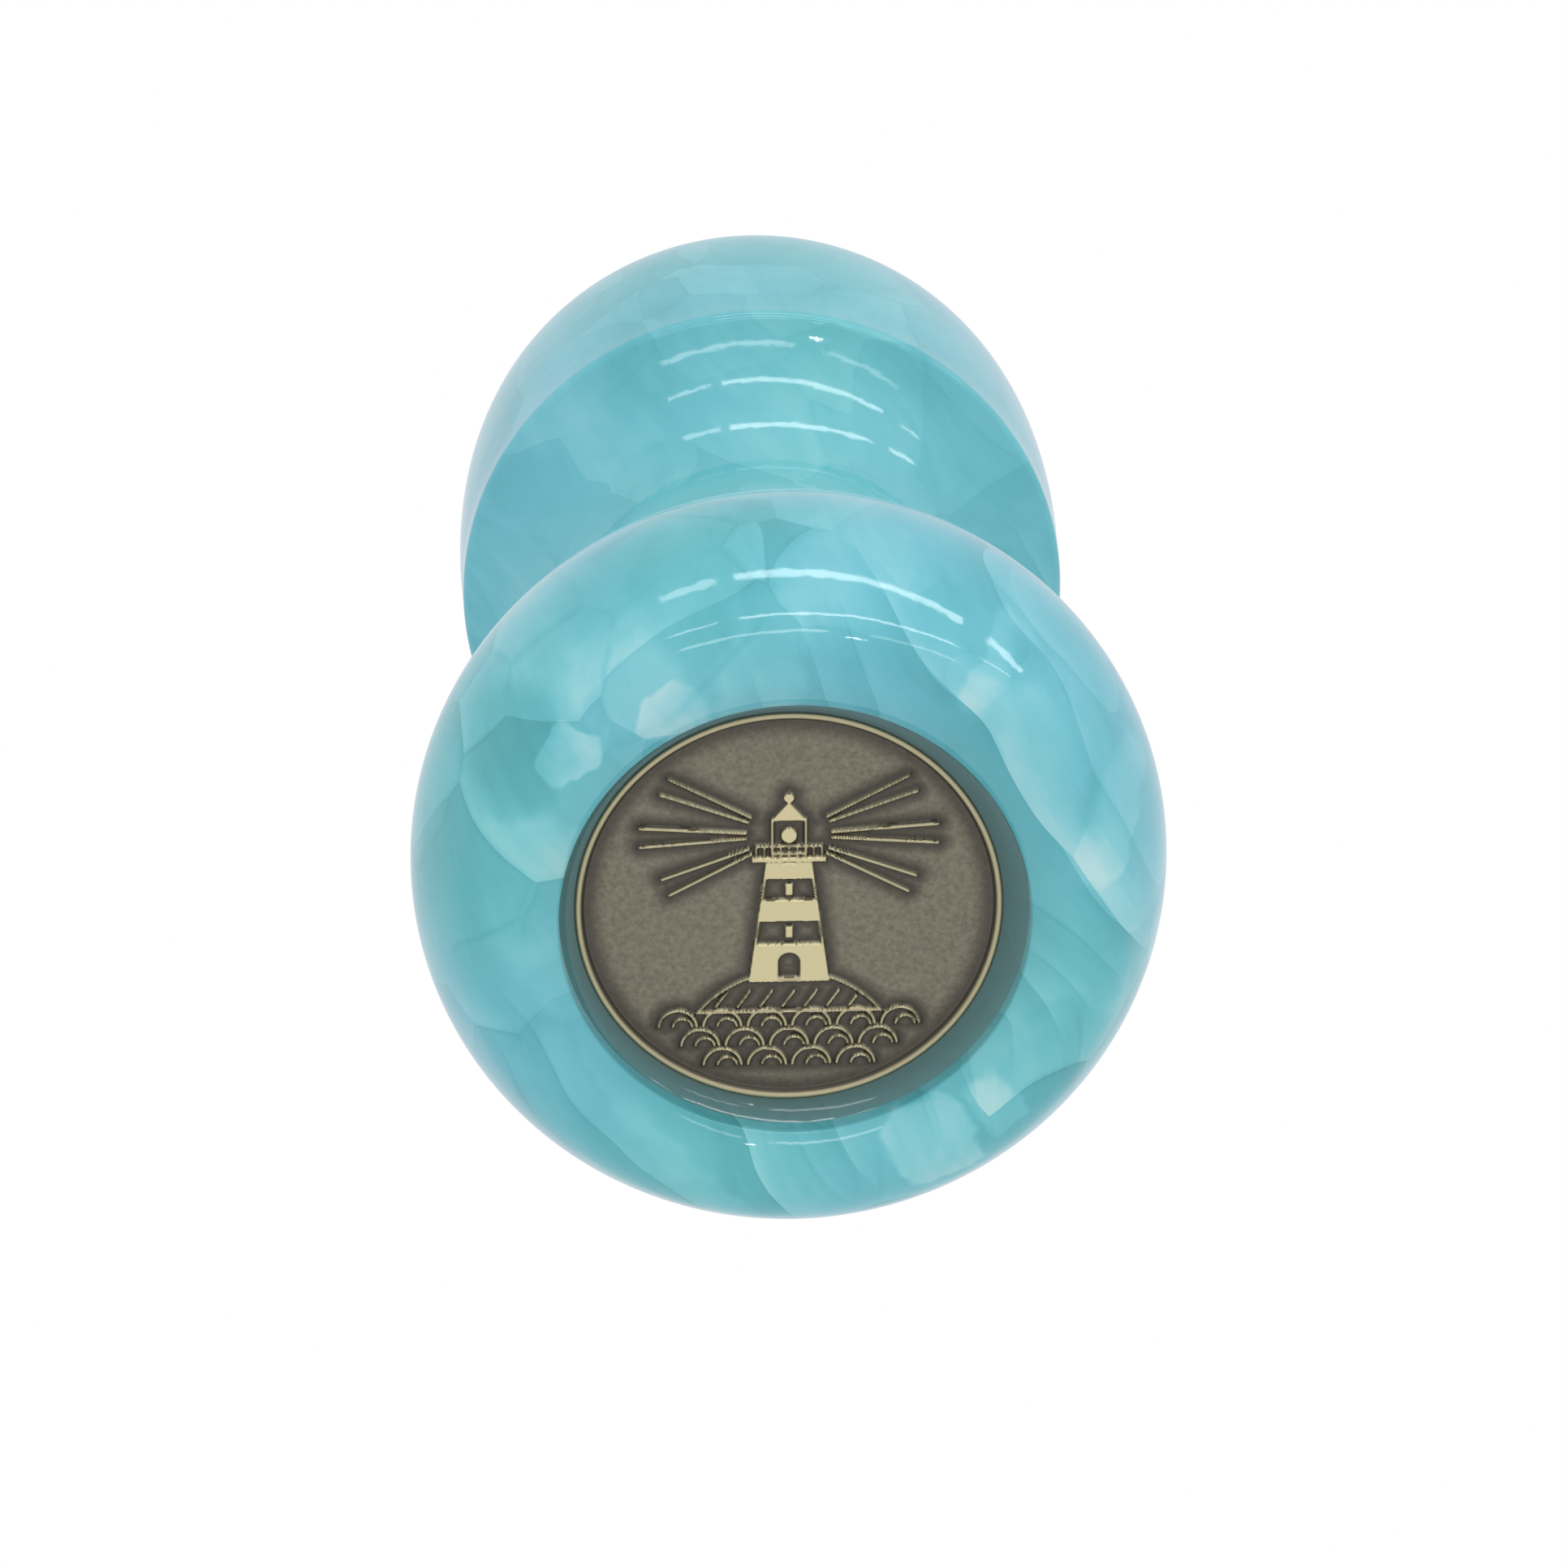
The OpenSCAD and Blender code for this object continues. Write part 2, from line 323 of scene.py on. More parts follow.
# folds to the right and below, blocks to the upper left and up the grip
blocky = sum_of(fade(vector_of(bent, (-0.75, -0.55, 0.35), "DOT_PRODUCT"), 2.0, 11.0),
                fade(vector_of(bent, (0.60, 0.80, 0.0), "DOT_PRODUCT"), 11.0, 15.0), "MAXIMUM")
veins = noise(bent, 0.25, 1.0).outputs["Fac"]
up_the_block = add("ShaderNodeSeparateXYZ")
links.new(in_mm, up_the_block.inputs[0])
softer_up = sum_of(fade(up_the_block.outputs[2], 30.0, 10.0), 0.50, "MULTIPLY_ADD", 0.50)
some_lines = sum_of(fade(veins, 0.45, 0.60), softer_up, "MULTIPLY")
line_mix = add("ShaderNodeMix", data_type="FLOAT")
feed(blocky, line_mix.inputs[0])
feed(fold_line, line_mix.inputs[2])
feed(block_line, line_mix.inputs[3])
tone_mix = add("ShaderNodeMix", data_type="FLOAT")
feed(blocky, tone_mix.inputs[0])
feed(fold_tone, tone_mix.inputs[2])
feed(block_tone, tone_mix.inputs[3])

# how strongly each layer shows in the tone, which runs from 0, deepest, to 1, palest
middle_tone, cloud_share, wisp_share, joint_share = 0.45, 0.62, 0.22, 0.11
cloud = noise(bent, 0.10, 4.0, 0.6).outputs["Fac"]
wisps = noise(vector_of(fold_turn.outputs[0], (1.1, 0.16, 0.18), "MULTIPLY"), 1.0, 3.0,
              0.6).outputs["Fac"]
tone = sum_of(middle_tone, sum_of(sum_of(cloud, 0.5, "SUBTRACT"), cloud_share, "MULTIPLY"))
tone = sum_of(tone, sum_of(sum_of(wisps, 0.5, "SUBTRACT"), wisp_share, "MULTIPLY"))
tone = sum_of(tone_mix.outputs[0], softer_up, "MULTIPLY_ADD", tone)
tone = sum_of(tone, sum_of(sum_of(line_mix.outputs[0], some_lines, "MULTIPLY"), joint_share,
                           "MULTIPLY"), "SUBTRACT")

# the chips that stand out: centre and half size in mm, turn in degrees, softness, clearing,
# and how much lighter (or, below zero, deeper) than the resin around them
ragged = vector_of(in_mm, vector_of(vector_of(
    noise(in_mm, 0.45, 2.0).outputs["Color"], (0.5, 0.5, 0.5), "SUBTRACT"), 2.0, "SCALE"))
marked = [
    ((-9.0, -13.4, 0), 35, (3.4, 2.4, 6), 0.30, 0.5, 0.20),
    ((-6.2, -11.8, 0), 60, (1.9, 1.5, 5), 0.12, -0.4, 0.26),
    ((-11.3, -9.7, 0), 50, (1.8, 1.3, 5), 0.10, 0.0, 0.34),
    ((-14.2, -9.8, 1), 0, (2.8, 3.0, 6), 0.35, 0.0, -0.26),
    ((-1.8, -13.8, 0), 80, (4.4, 2.2, 5), 0.20, 0.3, 0.16),
    ((-13.4, -2.6, 0), 10, (2.6, 4.6, 6), 0.18, 0.6, 0.16),
    ((2.6, -18.6, 5), 0, (3.0, 4.0, 4), 0.40, 0.0, 0.10),
    ((9.8, -13.8, 1), -35, (1.0, 2.4, 4), 0.15, -0.7, 0.16),
    ((16.2, -5.6, 1), -25, (1.6, 3.6, 5), 0.12, 0.6, 0.18),
    ((7.2, 12.6, 0), 25, (2.5, 2.4, 5), 0.10, 0.25, 0.36),
    ((10.4, 10.2, 0), 40, (1.4, 1.8, 5), 0.16, -0.3, 0.24),
    ((13.6, 7.4, 1), 55, (3.2, 2.6, 6), 0.14, 0.5, -0.10),
    ((-6.0, 13.4, 0), 40, (1.0, 4.6, 5), 0.30, 0.8, 0.14),
    ((-12.8, 6.6, 0), 30, (1.4, 6.0, 5), 0.25, 0.8, -0.12),
    ((-9.0, -16.0, 8), 20, (3.0, 2.0, 4), 0.45, 0.0, -0.14),
    ((-11.5, -13.0, 46), 0, (3.0, 4.0, 3), 0.5, 0.0, 0.14),
    ((3.5, -11.0, 42), 0, (4.0, 5.0, 3), 0.6, 0.0, 0.12),
]
for centre, swing, half, softness, clearing, amount in marked:
    lump = add("ShaderNodeGroup")
    lump.node_tree = chip
    links.new(ragged, lump.inputs["Place"])
    lump.inputs["Centre"].default_value = centre
    lump.inputs["Turn"].default_value = math.radians(swing)
    lump.inputs["Half size"].default_value = half
    lump.inputs["Softness"].default_value = softness
    lump.inputs["Clearing"].default_value = clearing
    tone = sum_of(lump.outputs["Amount"], amount, "MULTIPLY_ADD", tone)

ramp = add("ShaderNodeValToRGB")
ramp.color_ramp.elements[0].position = 0.0
ramp.color_ramp.elements[0].color = (0.055, 0.31, 0.345, 1)
ramp.color_ramp.elements[1].position = 1.0
ramp.color_ramp.elements[1].color = (0.41, 0.65, 0.655, 1)
for position, color in ((0.28, (0.085, 0.39, 0.44, 1)), (0.50, (0.125, 0.455, 0.512, 1)),
                        (0.70, (0.190, 0.525, 0.572, 1))):
    ramp.color_ramp.elements.new(position).color = color
links.new(tone, ramp.inputs["Fac"])

# some of the pour leans to blue and some to green
hue = add("ShaderNodeMix", data_type="RGBA", blend_type="MULTIPLY")
hue.inputs[0].default_value = 1.0
lean = add("ShaderNodeValToRGB")
lean.color_ramp.elements[0].position = 0.35
lean.color_ramp.elements[0].color = (0.93, 1.0, 0.95, 1)
lean.color_ramp.elements[1].position = 0.65
lean.color_ramp.elements[1].color = (1.01, 0.98, 1.03, 1)
links.new(noise(in_mm, 0.045, 1.0).outputs["Fac"], lean.inputs["Fac"])
links.new(ramp.outputs["Color"], hue.inputs[6])
links.new(lean.outputs["Color"], hue.inputs[7])
links.new(hue.outputs[2], shader.inputs["Base Color"])

# buffed, with the faintest ripple left by the sanding
ripple = add("ShaderNodeBump", Strength=0.07, Distance=0.0002)
links.new(noise(in_mm, 0.9, 2.0).outputs["Fac"], ripple.inputs["Height"])
links.new(ripple.outputs["Normal"], shader.inputs["Normal"])
shader.inputs["Roughness"].default_value = 0.07
shader.inputs["IOR"].default_value = 1.54

# light scattered back by the milky resin, seen where it is looked at edge on
shader.inputs["Sheen Weight"].default_value = 0.38
shader.inputs["Sheen Roughness"].default_value = 0.35
shader.inputs["Sheen Tint"].default_value = (0.78, 0.88, 0.95, 1)


# --- Handle -----------------------------------------------------------------------------------
# The resin blank, turned on a lathe between the bored socket and the bored recess, sanded
# through the grits and buffed. Its outline is a chain of arcs that a steps-round lathe turns.

steps_round = 192


def round_arc(centre, radius, start, end, count):
    angles = np.radians(np.linspace(start, end, count + 1))
    return np.c_[centre[0] + radius * np.cos(angles), centre[1] + radius * np.sin(angles)]


def bend_line(a, b, c, d, count):
    """A Bezier curve from a to d."""
    t = np.linspace(0, 1, count + 1)[:, None]
    a, b, c, d = (np.array(p, float) for p in (a, b, c, d))
    return (1 - t) ** 3 * a + 3 * (1 - t) ** 2 * t * b + 3 * (1 - t) * t * t * c + t ** 3 * d


def bearing(a, b):
    """The angle at which b is seen from a, in degrees."""
    return math.degrees(math.atan2(b[1] - a[1], b[0] - a[0]))


# arcs of the outline, as radius and height in millimetres
foot_r, foot_h, foot_curve = 19.7, 8.7, 12.6
shoulder_a, shoulder_pull = 20, 0.33
ring_curve, stand = 3.55, 0.6
waist_r, waist_h, cove = 11.1, 36.0, 9.0
ridge_r, ridge_round = 17.6, 0.6
grip_r, grip_h, mouth_r, top_h = 17.9, 52.4, 13.8, 64.0
socket_r, socket_floor, recess_r, recess_floor = 12.0, 51.0, 12.0, 4.8
lip_round, mouth_round = 0.3, 0.6

ring_h = math.sqrt(ring_curve ** 2 - stand ** 2)
foot_c = (foot_r - foot_curve, foot_h)
ring_x = foot_c[0] + math.sqrt((foot_curve - ring_curve) ** 2 - (foot_h - ring_h) ** 2)
ring_c = (ring_x, ring_h)
lip_x = recess_r + lip_round
lip_c = (lip_x, ring_h - math.sqrt((ring_curve - lip_round) ** 2 - (ring_x - lip_x) ** 2))
cove_c = (waist_r + cove, waist_h)
ridge_x = ridge_r - ridge_round
ridge_lift = math.sqrt((cove + ridge_round) ** 2 - (cove_c[0] - ridge_x) ** 2)
ridge_c = (ridge_x, waist_h + ridge_lift)
stand_a = math.degrees(math.asin(stand / ring_curve))
foot_a = bearing(foot_c, ring_c)
lip_a = bearing(ring_c, lip_c)
cove_a = bearing(cove_c, ridge_c)
shoulder_cos = math.cos(math.radians(shoulder_a))
shoulder_sin = math.sin(math.radians(shoulder_a))
shoulder = (foot_c[0] + foot_curve * shoulder_cos, foot_c[1] + foot_curve * shoulder_sin)
rise = waist_h - shoulder[1]
drop = top_h - grip_h
climb = grip_h - ridge_c[1]

outline = np.vstack([
    [[0, recess_floor]],
    np.c_[np.linspace(1.5, recess_r, 8), np.full(8, recess_floor)],
    round_arc(lip_c, lip_round, 180, 360 + lip_a, 8),
    round_arc(ring_c, ring_curve, lip_a, -90 - stand_a, 16)[1:],
    round_arc(ring_c, ring_curve, stand_a - 90, foot_a, 24),
    round_arc(foot_c, foot_curve, foot_a, shoulder_a, 56)[1:],
    bend_line(shoulder, (shoulder[0] - shoulder_pull * rise * shoulder_sin,
                         shoulder[1] + shoulder_pull * rise * shoulder_cos),
              (waist_r, waist_h - shoulder_pull * rise), (waist_r, waist_h), 60)[1:],
    round_arc(cove_c, cove, 180, cove_a, 44)[1:],
    round_arc(ridge_c, ridge_round, cove_a - 180, 0, 10)[1:],
    bend_line((ridge_r, ridge_c[1]), (ridge_r, ridge_c[1] + 0.3 * climb),
              (grip_r, grip_h - 0.5 * climb), (grip_r, grip_h), 24)[1:],
    bend_line((grip_r, grip_h), (grip_r, grip_h + 0.6 * drop),
              (mouth_r + 0.72 * (grip_r - mouth_r), top_h), (mouth_r, top_h), 44)[1:],
    round_arc((socket_r + mouth_round, top_h - mouth_round), mouth_round, 90, 180, 8),
    np.c_[np.full(8, socket_r), np.linspace(top_h - 2, socket_floor, 8)],
    np.c_[np.linspace(10, 1.6, 7), np.full(7, socket_floor)],
    [[0, socket_floor - 1.2]],
]) / 1000

outline_mesh = bpy.data.meshes.new("Handle outline")
outline_mesh.from_pydata([(r, 0, z) for r, z in outline],
                         [(i, i + 1) for i in range(len(outline) - 1)], [])
lathe_line = bpy.data.objects.new("Handle outline", outline_mesh)
scene.collection.objects.link(lathe_line)

# The lathe: every point of the outline is carried round the axis in equal steps
lathe = bpy.data.node_groups.new("Lathe", "GeometryNodeTree")
lathe.interface.new_socket("Outline", in_out="INPUT", socket_type="NodeSocketGeometry")
steps_in = lathe.interface.new_socket("Steps round", in_out="INPUT", socket_type="NodeSocketInt")
steps_in.default_value = steps_round
paint_in = lathe.interface.new_socket("Material", in_out="INPUT",
                                      socket_type="NodeSocketMaterial")
lathe.interface.new_socket("Turned", in_out="OUTPUT", socket_type="NodeSocketGeometry")


def lathe_node(kind, **settings):
    node = lathe.nodes.new(kind)
    for key, value in settings.items():
        setattr(node, key, value)
    return node


def lathe_link(a, out, b, into):
    lathe.links.new(a.outputs[out], b.inputs[into])


given = lathe_node("NodeGroupInput")
made = lathe_node("NodeGroupOutput")
count = lathe_node("GeometryNodeAttributeDomainSize")
lathe_link(given, "Outline", count, "Geometry")
rings = lathe_node("ShaderNodeMath", operation="ADD")
rings.inputs[1].default_value = 1
lathe_link(given, "Steps round", rings, 0)
sheet = lathe_node("GeometryNodeMeshGrid")
sheet.inputs["Size X"].default_value = 1
sheet.inputs["Size Y"].default_value = 1
lathe_link(rings, 0, sheet, "Vertices X")
lathe_link(count, "Point Count", sheet, "Vertices Y")
index = lathe_node("GeometryNodeInputIndex")
ring_no = lathe_node("ShaderNodeMath", operation="DIVIDE")
lathe_link(index, 0, ring_no, 0)
lathe_link(count, "Point Count", ring_no, 1)
ring_whole = lathe_node("ShaderNodeMath", operation="FLOOR")
lathe_link(ring_no, 0, ring_whole, 0)
point_no = lathe_node("ShaderNodeMath", operation="MODULO")
lathe_link(index, 0, point_no, 0)
lathe_link(count, "Point Count", point_no, 1)
part_turn = lathe_node("ShaderNodeMath", operation="DIVIDE")
lathe_link(ring_whole, 0, part_turn, 0)
lathe_link(given, "Steps round", part_turn, 1)
angle = lathe_node("ShaderNodeMath", operation="MULTIPLY")
angle.inputs[1].default_value = math.tau
lathe_link(part_turn, 0, angle, 0)
where = lathe_node("GeometryNodeInputPosition")
pick_point = lathe_node("GeometryNodeSampleIndex", data_type="FLOAT_VECTOR", domain="POINT")
lathe_link(given, "Outline", pick_point, "Geometry")
lathe.links.new(where.outputs[0], pick_point.inputs["Value"])
lathe.links.new(point_no.outputs[0], pick_point.inputs["Index"])
spin = lathe_node("ShaderNodeVectorRotate", rotation_type="Z_AXIS")
lathe.links.new(pick_point.outputs[0], spin.inputs["Vector"])
lathe.links.new(angle.outputs[0], spin.inputs["Angle"])
put = lathe_node("GeometryNodeSetPosition")
lathe_link(sheet, "Mesh", put, "Geometry")
lathe.links.new(spin.outputs[0], put.inputs["Position"])
weld = lathe_node("GeometryNodeMergeByDistance")
weld.inputs["Distance"].default_value = 0.000001
lathe_link(put, "Geometry", weld, "Geometry")
real = lathe_node("GeometryNodeRealizeInstances")
lathe_link(weld, "Geometry", real, "Geometry")
coat = lathe_node("GeometryNodeSetMaterial")
lathe_link(real, "Geometry", coat, "Geometry")
lathe_link(given, "Material", coat, "Material")
lathe_link(coat, "Geometry", made, "Turned")


def turned(line, name, steps, material):
    """Turns an outline into a finished mesh object."""
    spin_up = line.modifiers.new("Lathe", "NODES")
    spin_up.node_group = lathe
    spin_up[steps_in.identifier] = steps
    spin_up[paint_in.identifier] = material
    bpy.context.view_layer.update()
    depsgraph = bpy.context.evaluated_depsgraph_get()
    mesh = bpy.data.meshes.new_from_object(line.evaluated_get(depsgraph))
    mesh.name = name
    bpy.data.objects.remove(line)
    piece = bpy.data.objects.new(name, mesh)
    scene.collection.objects.link(piece)
    return piece


def face_out(piece, sharp):
    """Recalculates the normals to face out and keeps edges sharper than an angle crisp."""
    bpy.context.view_layer.objects.active = piece
    piece.select_set(True)
    bpy.ops.object.mode_set(mode="EDIT")
    bpy.ops.mesh.select_all(action="SELECT")
    bpy.ops.mesh.normals_make_consistent(inside=False)
    bpy.ops.object.mode_set(mode="OBJECT")
    piece.select_set(False)
    piece.data.shade_smooth()
    piece.data.set_sharp_from_angle(angle=math.radians(sharp))


handle = turned(lathe_line, "Handle", steps_round, resin)
face_out(handle, 40)
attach(handle, "root")
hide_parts("handle_body")


# --- Medallion --------------------------------------------------------------------------------
# A struck bronze coin with a raised rim and a lighthouse emblem. The metal was darkened with
# a patina, then rubbed, so that the high lines are bright and the hollows beside them dark.

def smooth(x, low, high):
    """0 at low, 1 at high, eased at both ends."""
    t = np.clip((x - low) / (high - low), 0, 1)
    return t * t * (3 - 2 * t)


# A square net mapped onto the disc, so that its edge is an exact circle
net = 280
a, b = np.meshgrid(np.linspace(-1, 1, net + 1), np.linspace(-1, 1, net + 1), indexing="ij")
with np.errstate(divide="ignore", invalid="ignore"):
    wide = np.abs(a) > np.abs(b)
    reach = np.where(wide, a, b)
    swing = np.where(wide, math.pi / 4 * b / np.where(a == 0, 1, a),
                     math.pi / 2 - math.pi / 4 * a / np.where(b == 0, 1, b))
field_r = 10.45
x = field_r * reach * np.cos(swing)
y = field_r * reach * np.sin(swing)


def box_d(px, py, cx, cy, half_x, half_y):
    """Distances to a box."""
    dx, dy = np.abs(px - cx) - half_x, np.abs(py - cy) - half_y
    return np.hypot(np.maximum(dx, 0), np.maximum(dy, 0)) + np.minimum(np.maximum(dx, dy), 0)


def line_d(px, py, ax, ay, bx, by):
    """Distances to a straight line between two points."""
    t = ((px - ax) * (bx - ax) + (py - ay) * (by - ay)) / ((bx - ax) ** 2 + (by - ay) ** 2)
    t = np.clip(t, 0, 1)
    return np.hypot(px - ax - t * (bx - ax), py - ay - t * (by - ay))


# distances to the shapes of the emblem, negative inside them: filled ones and drawn lines
fills, lines = [], []
stroke, thin_stroke = 0.09, 0.08
tower_foot, tower_top, lamp_y = -4.2, 2.6, 4.1
half = 2.1 - 0.9 * (y - tower_foot) / 6.8
tower = np.maximum(np.abs(x) - half, np.maximum(tower_foot - y, y - tower_top))
door = np.maximum(np.abs(x) - 0.55, y + 3.1)
for low_y, high_y in ((tower_foot, -2.0), (-0.75, 0.5), (1.65, tower_top)):
    band = np.maximum(tower, np.maximum(low_y - y, y - high_y))
    fills.append(np.maximum(band, -np.minimum(door, np.hypot(x, y + 3.1) - 0.55)))
lines.append(np.abs(tower + stroke) - stroke)
for window_y in (-1.35, 1.05):
    fills.append(box_d(x, y, 0, window_y, 0.2, 0.32))
fills.append(box_d(x, y, 0, 2.75, 1.9, 0.15))
lines.append(box_d(x, y, 0, 3.5, 1.75, 0.08))
for i in range(9):
    lines.append(box_d(x, y, -1.68 + 0.42 * i, 3.15, 0.07, 0.35))
lines.append(np.abs(box_d(x, y, 0, 4.05, 0.85, 0.95)) - stroke)
fills.append(np.hypot(x, y - lamp_y) - 0.42)
roof = np.maximum(np.abs(x) * 0.75 + (y - 6.0) * 0.66, 4.95 - y)
fills.append(roof)
fills.append(np.hypot(x, y - 6.2) - 0.28)
for mirror in (-1, 1):
    for i in (-1, 0, 1):
        for edge_turn in (-4, 4):
            beam = math.radians(24 * i + edge_turn)
            c, s = math.cos(beam), math.sin(beam)
            near, far = 2.2, 7.6 - 0.7 * abs(i)
            lines.append(line_d(x, y, mirror * near * c, lamp_y + near * s,
                                mirror * far * c, lamp_y + far * s) - stroke)
rock = np.maximum(np.hypot(x, y + 9.6) - 6.0, -5.9 - y)
lines.append(np.abs(np.maximum(rock, -tower - 0.2)) - stroke)
for i in range(-3, 4):
    crack = line_d(x, y, 1.15 * i - 0.35, -5.6, 1.15 * i + 0.25, -4.75) - thin_stroke
    lines.append(np.maximum(crack, rock + 0.25))
for row in range(3):
    for i in range(6 - row):
        cx, cy = 2.3 * (i - (5 - row) / 2), -6.75 - 1.12 * row
        reach_in = np.hypot(x - cx, y - cy)
        lines.append(np.maximum(np.abs(reach_in - 0.98) - stroke, cy - y))
        lines.append(np.maximum(np.abs(np.hypot(x - cx - 0.25, y - cy) - 0.5) - thin_stroke, cy - y))
filled = np.minimum.reduce(fills)
drawn = np.minimum.reduce(lines)
nearest = np.minimum(filled, drawn)
raised = 1 - smooth(nearest, -0.05, 0.06)
shine = np.maximum(1 - smooth(filled, -0.06, 0.04), 0.62 * (1 - smooth(drawn, -0.06, 0.04)))
halo = (1 - smooth(nearest, 0.0, 1.0)) * (1 - raised)
radius = np.hypot(x, y)
rim_halo = smooth(radius, 9.3, 10.35)
height = -0.35 + 0.25 * raised

index_of = np.arange((net + 1) ** 2).reshape(net + 1, net + 1)
quads = np.stack([index_of[:-1, :-1], index_of[1:, :-1], index_of[1:, 1:],
                  index_of[:-1, 1:]], -1).reshape(-1, 4)
edge = np.concatenate([index_of[:-1, 0], index_of[-1, :-1], index_of[:0:-1, -1],
                       index_of[0, :0:-1]])
edge_angle = np.arctan2(y.flat[edge], x.flat[edge])
points = [np.c_[x.ravel(), y.ravel(), height.ravel()]]
polish = [shine.ravel()]
dark = [np.maximum(halo * 0.9, rim_halo * 0.75).ravel()]
faces = [quads]
last = edge
# the rim and the back in turned steps: radius, height, polish, patina
back_z = -2.0
rim_rows = [(10.5, -0.30, 0.0, 1.0), (10.58, -0.14, 0.15, 0.9), (10.66, -0.03, 0.45, 0.3),
            (10.72, 0.0, 0.60, 0.1), (10.82, 0.0, 0.60, 0.1), (10.92, -0.05, 0.35, 0.5),
            (11.0, -0.16, 0.1, 0.9), (11.0, -0.6, 0.0, 1.0), (11.0, back_z, 0.0, 1.0),
            (6.0, back_z, 0.0, 1.0)]
total = (net + 1) ** 2
for r, z, bright, shade in rim_rows:
    ring = np.c_[r * np.cos(edge_angle), r * np.sin(edge_angle), np.full(len(edge), z)]
    points.append(ring)
    polish.append(np.full(len(edge), bright))
    dark.append(np.full(len(edge), shade))
    here = np.arange(total, total + len(edge))
    faces.append(np.stack([last, np.roll(last, -1), np.roll(here, -1), here], -1))
    last = here
    total += len(edge)
points.append(np.array([[0, 0, back_z]]))
polish.append(np.zeros(1))
dark.append(np.ones(1))
points = np.vstack(points)
cap = [(int(last[i]), int(last[(i + 1) % len(last)]), total) for i in range(len(last))]

# face down into the recess: the emblem's right stays on the right, its top points to -Y
medal_shift, medal_h = 0.25, 2.5
placed = np.c_[points[:, 0] - medal_shift, -points[:, 1], medal_h - points[:, 2]] / 1000
medal_mesh = bpy.data.meshes.new("Medallion")
medal_mesh.from_pydata(placed.tolist(), [], np.vstack(faces).tolist() + cap)
for title, values in (("polish", polish), ("patina", dark)):
    layer = medal_mesh.attributes.new(title, "FLOAT", "POINT")
    layer.data.foreach_set("value", np.concatenate(values).astype(np.float32))
medallion = bpy.data.objects.new("Medallion", medal_mesh)
scene.collection.objects.link(medallion)

bronze = bpy.data.materials.new("Antique bronze")
bronze.use_nodes = True
nodes = bronze.node_tree.nodes
links = bronze.node_tree.links
shader = nodes["Principled BSDF"]
polish_in = add("ShaderNodeAttribute", attribute_name="polish")
patina_in = add("ShaderNodeAttribute", attribute_name="patina")
place = add("ShaderNodeTexCoord")
grain = add("ShaderNodeTexNoise", Scale=3400, Detail=3, Roughness=0.7)
links.new(place.outputs["Object"], grain.inputs["Vector"])
field_tone = add("ShaderNodeValToRGB")
field_tone.color_ramp.elements[0].position = 0.32
field_tone.color_ramp.elements[0].color = (0.162, 0.147, 0.113, 1)
field_tone.color_ramp.elements[1].position = 0.68
field_tone.color_ramp.elements[1].color = (0.246, 0.224, 0.168, 1)
links.new(grain.outputs["Fac"], field_tone.inputs["Fac"])
patina_mix = add("ShaderNodeMix", data_type="RGBA")
patina_mix.inputs[7].default_value = (0.060, 0.053, 0.048, 1)
links.new(patina_in.outputs["Fac"], patina_mix.inputs[0])
links.new(field_tone.outputs["Color"], patina_mix.inputs[6])
polish_mix = add("ShaderNodeMix", data_type="RGBA")
polish_mix.inputs[7].default_value = (0.62, 0.55, 0.33, 1)
links.new(polish_in.outputs["Fac"], polish_mix.inputs[0])
links.new(patina_mix.outputs[2], polish_mix.inputs[6])
links.new(polish_mix.outputs[2], shader.inputs["Base Color"])
shader.inputs["Metallic"].default_value = 0.9
rough = add("ShaderNodeMapRange")
rough.inputs["To Min"].default_value = 0.5
rough.inputs["To Max"].default_value = 0.28
links.new(polish_in.outputs["Fac"], rough.inputs["Value"])
links.new(rough.outputs["Result"], shader.inputs["Roughness"])
pits = add("ShaderNodeBump", Strength=0.25, Distance=0.00004)
links.new(grain.outputs["Fac"], pits.inputs["Height"])
links.new(pits.outputs["Normal"], shader.inputs["Normal"])
medal_mesh.materials.append(bronze)
face_out(medallion, 60)
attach(medallion, "root")
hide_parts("medallion")


# --- Epoxy ------------------------------------------------------------------------------------
# Clear casting epoxy that beds the medallion in its recess. It crept up the wall of the bore
# as it set, which leaves a hollow glassy ring around the coin.

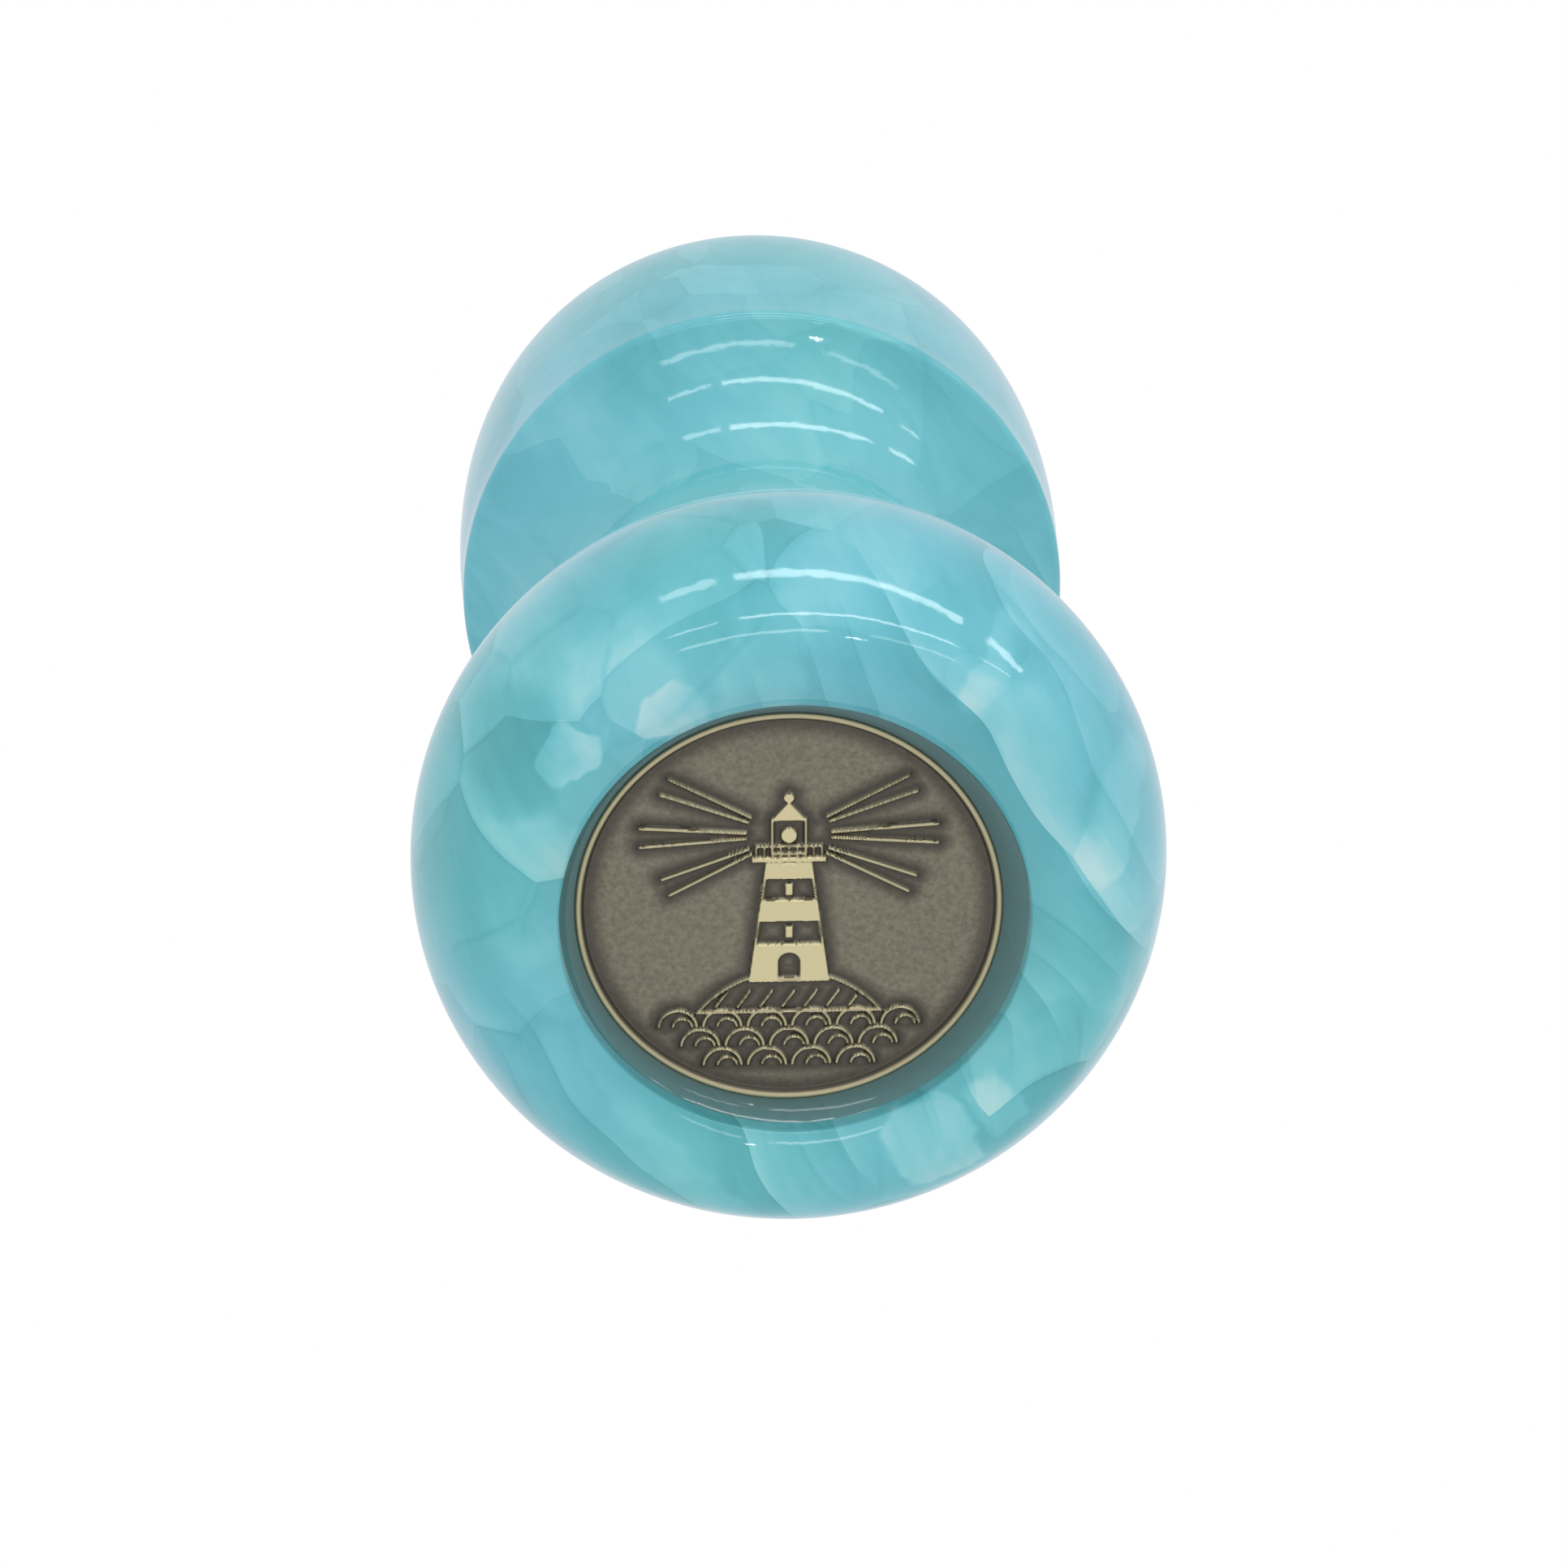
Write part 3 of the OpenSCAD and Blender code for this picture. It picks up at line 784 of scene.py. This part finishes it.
epoxy = bpy.data.materials.new("Clear epoxy")
epoxy.use_nodes = True
nodes = epoxy.node_tree.nodes
links = epoxy.node_tree.links
shader = nodes["Principled BSDF"]

# painted shade: the base colour is darkest over the coin's edge, where the gap around the coin lies
# in shade, and clears towards the bore's wall
place = add("ShaderNodeTexCoord")
from_axis = vector_of(vector_of(place.outputs["Object"], (1000, 1000, 0), "MULTIPLY"),
                      (0, 0, 0), "LENGTH")
painted_shade_tint = add("ShaderNodeMix", data_type="RGBA")
painted_shade_tint.inputs[6].default_value = (0.15, 0.40, 0.39, 1)
painted_shade_tint.inputs[7].default_value = (0.30, 0.66, 0.66, 1)
links.new(fade(from_axis, 10.6, 12.2), painted_shade_tint.inputs[0])
links.new(painted_shade_tint.outputs[2], shader.inputs["Base Color"])
sag = add("ShaderNodeBump", Strength=0.15, Distance=0.0002)
links.new(noise(vector_of(place.outputs["Object"], 1000.0, "SCALE"), 0.8, 1.0).outputs["Fac"],
          sag.inputs["Height"])
links.new(sag.outputs["Normal"], shader.inputs["Normal"])
shader.inputs["Roughness"].default_value = 0.09
shader.inputs["IOR"].default_value = 1.55
shader.inputs["Transmission Weight"].default_value = 0.8

# its outline reaches a hair into the coin's edge, the bore's wall and the recess floor
coin_edge, coin_back, wall_r, floor_h = 10.93, 4.49, 12.02, 4.81
bed_line = np.vstack([
    [[0, coin_back], [coin_edge, coin_back]],
    round_arc((10.17, 0.349), 2.4, 71.5, 39.6, 24),
    [[wall_r, floor_h], [0, floor_h]],
]) / 1000
bed_mesh = bpy.data.meshes.new("Epoxy outline")
bed_mesh.from_pydata([(r, 0, z) for r, z in bed_line],
                     [(i, i + 1) for i in range(len(bed_line) - 1)], [])
bed_outline = bpy.data.objects.new("Epoxy outline", bed_mesh)
scene.collection.objects.link(bed_outline)
bed = turned(bed_outline, "Epoxy", steps_round, epoxy)

# the coin sits a little off the axis, so the inner part of the bed goes with it
for vertex in bed.data.vertices:
    to_wall = (math.hypot(vertex.co.x, vertex.co.y) * 1000 - coin_edge) / (wall_r - coin_edge)
    vertex.co.x -= medal_shift / 1000 * (1 - min(max(to_wall, 0), 1))
face_out(bed, 40)
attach(bed, "root")
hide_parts("epoxy_bed")
